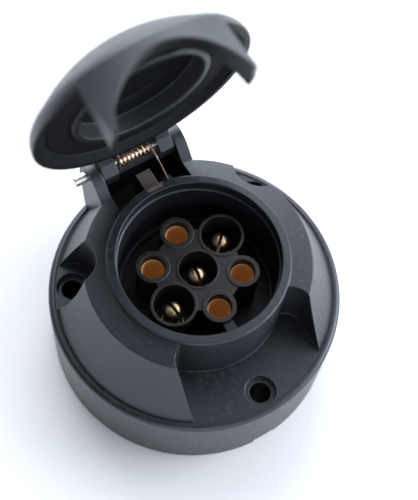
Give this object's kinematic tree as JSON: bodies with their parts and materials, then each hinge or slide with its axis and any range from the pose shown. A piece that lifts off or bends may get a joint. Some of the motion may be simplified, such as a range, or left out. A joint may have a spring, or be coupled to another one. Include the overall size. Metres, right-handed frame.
{
  "type": "trailer wiring socket",
  "caption": "Round trailer wiring socket with a spring-loaded domed lid, split pins and tube contacts in a deep mouth, and a flanged base that bolts to a bracket.",
  "frame": {"origin": "centre of the flat mounting face, on the axis of the mouth", "axes": "+Z out of the mouth, +Y towards the lid hinge, -Y towards the front scoop and the drain notch"},
  "size_m": [0.0774, 0.0814, 0.1071],
  "materials": {
    "black_nylon": "fine moulded grain",
    "carrier_nylon": "satin moulded",
    "seal_rubber": "matte",
    "zinc_steel": "zinc plated",
    "spring_wire": "drawn wire, yellowed plating",
    "brass": "turned",
    "screw_steel": "zinc plated"
  },
  "bodies": {
    "base": {"housing": "black_nylon", "hinge_pin": "zinc_steel", "hinge_spring": "spring_wire", "contact_carrier": "carrier_nylon", "contact_pin_centre": "brass", "contact_pin_upper_right": "brass", "contact_pin_lower_left": "brass", "contact_tube_top": "brass", "contact_tube_right": "brass", "contact_tube_bottom": "brass", "contact_tube_left": "brass", "terminal_screw_pin_centre": "screw_steel", "terminal_screw_pin_upper_right": "screw_steel", "terminal_screw_pin_lower_left": "screw_steel", "terminal_screw_tube_top": "screw_steel", "terminal_screw_tube_right": "screw_steel", "terminal_screw_tube_bottom": "screw_steel", "terminal_screw_tube_left": "screw_steel", "carrier_screw_a": "screw_steel", "carrier_screw_b": "screw_steel"},
    "lid": {"lid": "black_nylon", "lid_seal": "seal_rubber"}
  },
  "joints": [
    {"name": "lid_hinge", "type": "hinge", "parent": "base", "child": "lid", "pos_m": [0, 0.0338, 0.0446], "axis": [-1, 0, 0], "range_deg": [-81.5, 28.5], "stiffness_Nm_per_rad": 0.05, "springref_deg": -91.67, "deforming": ["hinge_spring"]}
  ]
}
